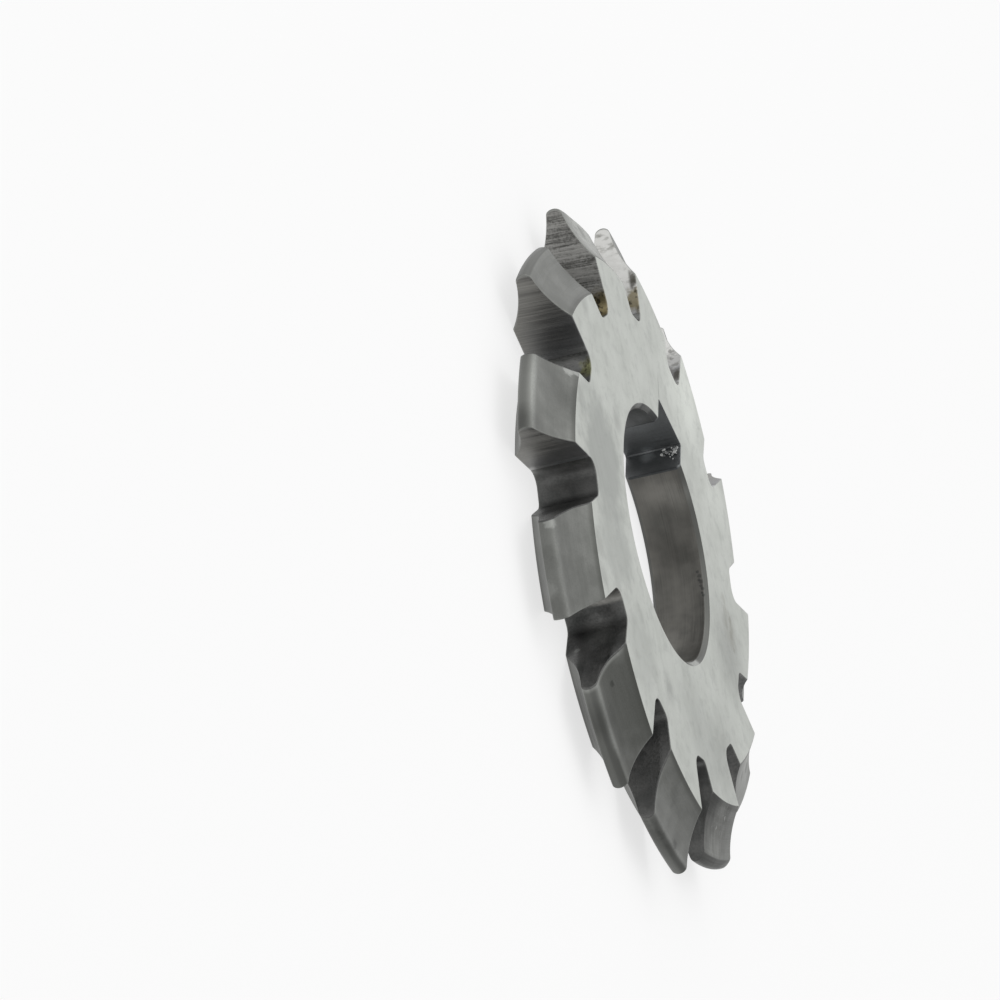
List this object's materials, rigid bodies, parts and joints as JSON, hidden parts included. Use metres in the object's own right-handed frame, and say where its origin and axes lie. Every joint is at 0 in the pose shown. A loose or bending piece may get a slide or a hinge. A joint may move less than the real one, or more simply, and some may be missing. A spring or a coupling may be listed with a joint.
{
  "type": "gear milling cutter",
  "caption": "Thin steel disc cutter with hollow-flanked, form-relieved teeth round its rim, a keyed bore and flat ground sides, for milling gear tooth spaces on an arbor.",
  "frame": {"origin": "on the bore's axis, in the lower side face that the disc lies on", "axes": "+Z along the bore, out of the upper side face; +Y through the middle of the keyway"},
  "size_m": [0.0584, 0.0584, 0.0051],
  "materials": {
    "tool_steel": "ground"
  },
  "bodies": {
    "root": {"gear_cutter": "tool_steel"}
  },
  "joints": []
}
